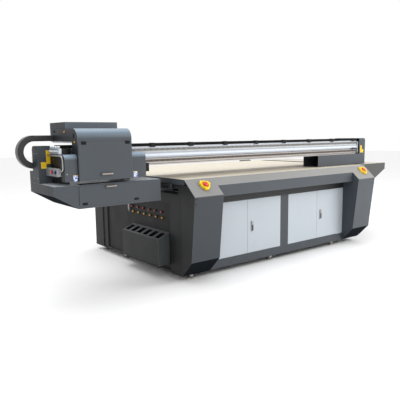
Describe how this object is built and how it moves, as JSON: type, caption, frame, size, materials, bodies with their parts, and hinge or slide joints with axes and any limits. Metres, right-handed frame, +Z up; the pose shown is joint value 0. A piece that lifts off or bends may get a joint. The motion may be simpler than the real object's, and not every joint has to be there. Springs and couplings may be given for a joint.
{
  "type": "flatbed uv printer",
  "caption": "Large flatbed UV printer: vacuum table on a steel cabinet with doors, and a moving gantry that carries the print carriage.",
  "frame": {"origin": "bottom centre of the bounding box, on the floor", "axes": "+X along the gantry beam towards the machine's right end, +Y from the front doors to the back, +Z up"},
  "size_m": [4.6564, 2.028, 1.469],
  "materials": {
    "grey_paint": "semi-gloss grey powder coat",
    "grey_paint_dark": "semi-gloss darker grey powder coat",
    "light_paint": "light grey-white powder coat",
    "trim_paint": "mid grey powder coat",
    "ink_box_paint": "dark grey powder coat",
    "black_paint": "black powder coat",
    "bare_aluminium": "brushed and anodised",
    "bed_surface": "matt anodised plate",
    "guide_steel": "ground steel",
    "magnet_steel": "dull steel",
    "cast_alloy": "sand cast",
    "chain_plastic": "black moulded plastic",
    "black_plastic": "black moulded plastic",
    "white_plastic": "white moulded plastic",
    "bottle_plastic": "translucent white moulded plastic",
    "red_plastic": "red moulded plastic",
    "blue_plastic": "dark blue moulded plastic",
    "yellow_plastic": "yellow moulded plastic",
    "lamp_glow": "coloured lens"
  },
  "bodies": {
    "base": {"base_frame": "grey_paint_dark", "levelling_feet": "guide_steel", "left_pillar": "grey_paint", "right_pillar": "grey_paint", "front_cover": "trim_paint", "door_surround": "grey_paint", "left_side_panel": "ink_box_paint", "right_side_panel": "grey_paint", "right_wing": "trim_paint", "back_panel": "grey_paint", "bed": "bed_surface", "y_rails": "guide_steel", "y_motors": "black_paint", "vacuum_blower": "cast_alloy", "electrics_panel": "light_paint", "ink_panel": "ink_box_paint", "ink_lamps": "lamp_glow", "ink_tray": "ink_box_paint", "ink_bottles": "bottle_plastic", "ink_filter": "white_plastic", "stop_guards": "yellow_plastic"},
    "door_one": {"door_1": "light_paint"},
    "door_two": {"door_2": "light_paint"},
    "door_three": {"door_3": "light_paint"},
    "door_four": {"door_4": "light_paint"},
    "lock_one": {"door_lock_1": "black_plastic"},
    "lock_two": {"door_lock_2": "black_plastic"},
    "stop_left": {"stop_button_left": "red_plastic"},
    "stop_right": {"stop_button_right": "red_plastic"},
    "screw_left": {"y_screw_left": "guide_steel"},
    "screw_right": {"y_screw_right": "guide_steel"},
    "gantry": {"beam": "bare_aluminium", "x_rails": "guide_steel", "magnet_track": "magnet_steel", "cap_strip": "black_paint", "gantry_supports": "grey_paint_dark", "station_case": "grey_paint", "left_end_housing": "grey_paint", "right_end_cover": "grey_paint", "right_leg_box": "grey_paint", "chain_tray": "bare_aluminium", "control_box": "light_paint", "end_manifold": "bare_aluminium", "end_conduit": "guide_steel"},
    "station_door": {"station_flap": "grey_paint"},
    "caps": {"cap_tray": "black_plastic"},
    "start": {"start_button": "red_plastic"},
    "reset": {"reset_button": "blue_plastic"},
    "carriage": {"carriage_plate": "bare_aluminium", "bearing_blocks": "guide_steel", "carriage_cover": "grey_paint", "uv_lamp_left": "grey_paint", "uv_lamp_right": "grey_paint", "rear_box": "grey_paint", "height_sensor": "black_plastic", "sub_tanks": "white_plastic", "chain_upper_run": "chain_plastic"},
    "carriage_door": {"carriage_flap": "grey_paint"},
    "heads": {"print_heads": "black_plastic"},
    "chain": {"chain_loop": "chain_plastic"}
  },
  "joints": [
    {"name": "door_one_hinge", "type": "hinge", "parent": "base", "child": "door_one", "pos_m": [-0.72275, -0.8, 0.421], "axis": [0, 0, -1], "range_deg": [0, 90]},
    {"name": "door_two_hinge", "type": "hinge", "parent": "base", "child": "door_two", "pos_m": [0.25425, -0.8, 0.421], "axis": [0, 0, 1], "range_deg": [0, 90]},
    {"name": "door_three_hinge", "type": "hinge", "parent": "base", "child": "door_three", "pos_m": [0.38025, -0.8, 0.421], "axis": [0, 0, -1], "range_deg": [0, 90]},
    {"name": "door_four_hinge", "type": "hinge", "parent": "base", "child": "door_four", "pos_m": [1.35725, -0.8, 0.421], "axis": [0, 0, 1], "range_deg": [0, 90]},
    {"name": "lock_one_turn", "type": "hinge", "parent": "door_two", "child": "lock_one", "pos_m": [-0.16975, -0.8, 0.418], "axis": [0, 1, 0], "range_deg": [0, 90]},
    {"name": "lock_two_turn", "type": "hinge", "parent": "door_four", "child": "lock_two", "pos_m": [0.93325, -0.8, 0.418], "axis": [0, 1, 0], "range_deg": [0, 90]},
    {"name": "stop_left_press", "type": "slide", "parent": "base", "child": "stop_left", "axis": [0, -0.6713, 0.7412], "range_m": [-0.004, 0], "stiffness_N_per_m": 1500, "springref_m": 0.002},
    {"name": "stop_right_press", "type": "slide", "parent": "base", "child": "stop_right", "axis": [0, -0.6713, 0.7412], "range_m": [-0.004, 0], "stiffness_N_per_m": 1500, "springref_m": 0.002},
    {"name": "gantry_slide", "type": "slide", "parent": "base", "child": "gantry", "axis": [0, 1, 0], "range_m": [0, 1.3]},
    {"name": "screw_left_turn", "type": "hinge", "parent": "base", "child": "screw_left", "pos_m": [-0.92475, -0.014, 0.836], "axis": [0, 1, 0], "range_deg": [0, 11701]},
    {"name": "screw_right_turn", "type": "hinge", "parent": "base", "child": "screw_right", "pos_m": [1.81525, -0.014, 0.836], "axis": [0, 1, 0], "range_deg": [0, 11701]},
    {"name": "carriage_slide", "type": "slide", "parent": "gantry", "child": "carriage", "axis": [1, 0, 0], "range_m": [0, 3.17]},
    {"name": "station_flap_hinge", "type": "hinge", "parent": "gantry", "child": "station_door", "pos_m": [-1.73975, -0.7875, 0.813], "axis": [1, 0, 0], "range_deg": [0, 90]},
    {"name": "cap_lift", "type": "slide", "parent": "gantry", "child": "caps", "axis": [0, 0, 1], "range_m": [0, 0.03]},
    {"name": "start_press", "type": "slide", "parent": "gantry", "child": "start", "axis": [1, 0, 0], "range_m": [0, 0.0025], "stiffness_N_per_m": 600, "springref_m": -0.002},
    {"name": "reset_press", "type": "slide", "parent": "gantry", "child": "reset", "axis": [1, 0, 0], "range_m": [0, 0.0025], "stiffness_N_per_m": 600, "springref_m": -0.002},
    {"name": "carriage_flap_hinge", "type": "hinge", "parent": "carriage", "child": "carriage_door", "pos_m": [-1.78975, -0.82, 1.308], "axis": [-1, 0, 0], "range_deg": [0, 95]},
    {"name": "head_lift", "type": "slide", "parent": "carriage", "child": "heads", "axis": [0, 0, 1], "range_m": [-0.045, 0]},
    {"name": "chain_roll", "type": "slide", "parent": "carriage", "child": "chain", "axis": [1, 0, 0], "range_m": [-1.59, 0], "deforming": ["chain_upper_run"]}
  ],
  "couplings": [
    {"joint": "screw_left_turn", "follows": "gantry_slide", "rad_per_m": 157.08},
    {"joint": "screw_right_turn", "follows": "gantry_slide", "rad_per_m": 157.08},
    {"joint": "chain_roll", "follows": "carriage_slide", "ratio": -0.5}
  ]
}
